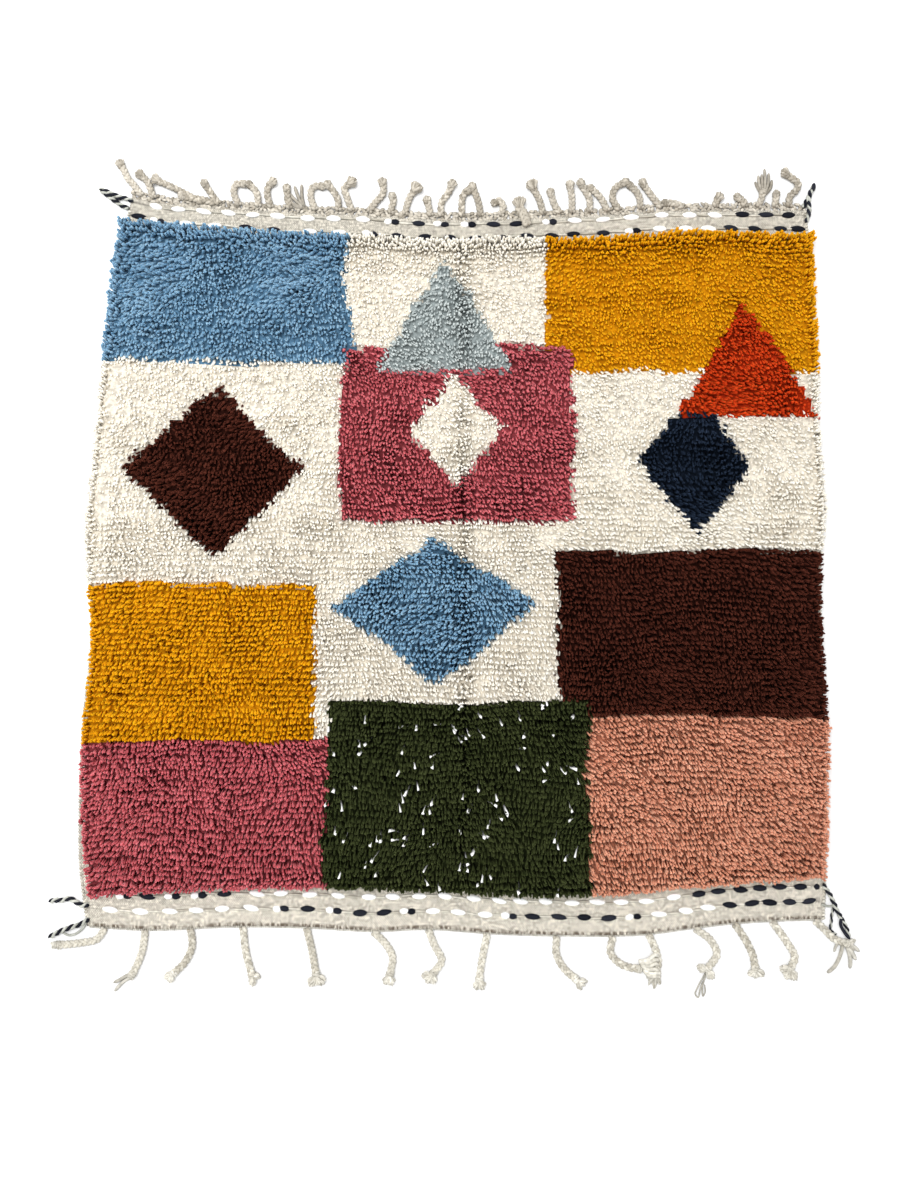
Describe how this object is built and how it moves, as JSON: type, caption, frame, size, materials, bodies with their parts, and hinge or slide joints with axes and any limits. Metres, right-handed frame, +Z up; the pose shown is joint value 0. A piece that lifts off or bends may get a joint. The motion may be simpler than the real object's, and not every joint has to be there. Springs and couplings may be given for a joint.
{
  "type": "beni ourain rug",
  "caption": "Square hand-knotted wool shag rug lying flat, with flat-woven twined ends, braided fringes and twisted yarn ends at its corners.",
  "frame": {"origin": "middle of the underside of the woven ground, on the floor", "axes": "+Z up out of the pile, +X to the right along the ends, +Y from the end with few braids to the end with many"},
  "size_m": [1.281, 1.3801, 0.0328],
  "materials": {
    "ground": "undyed beige wool tabby weave, matt",
    "braid": "undyed plaited wool yarn, matt",
    "twining_white": "bleached thick yarn floats, matt",
    "twining_black": "black thick yarn, matt",
    "pile_cream": "thick wool pile yarn, matt",
    "pile_blue": "thick wool pile yarn, matt",
    "pile_grey_blue": "thick wool pile yarn, matt",
    "pile_rose": "thick wool pile yarn, matt",
    "pile_orange": "thick wool pile yarn, matt",
    "pile_navy": "thick wool pile yarn, matt",
    "pile_mustard": "thick wool pile yarn, matt",
    "pile_brown": "thick wool pile yarn, matt",
    "pile_salmon": "thick wool pile yarn, matt",
    "pile_green": "thick wool pile yarn, matt"
  },
  "bodies": {
    "root": {"woven_ground": "ground", "pile": "pile_cream", "fringe_near": "braid", "fringe_far": "braid", "tie_far_left": "twining_black", "tie_far_right": "twining_black", "tie_near_left_inner": "twining_black", "tie_near_left_outer": "twining_black", "tie_near_right": "twining_black"}
  },
  "joints": []
}
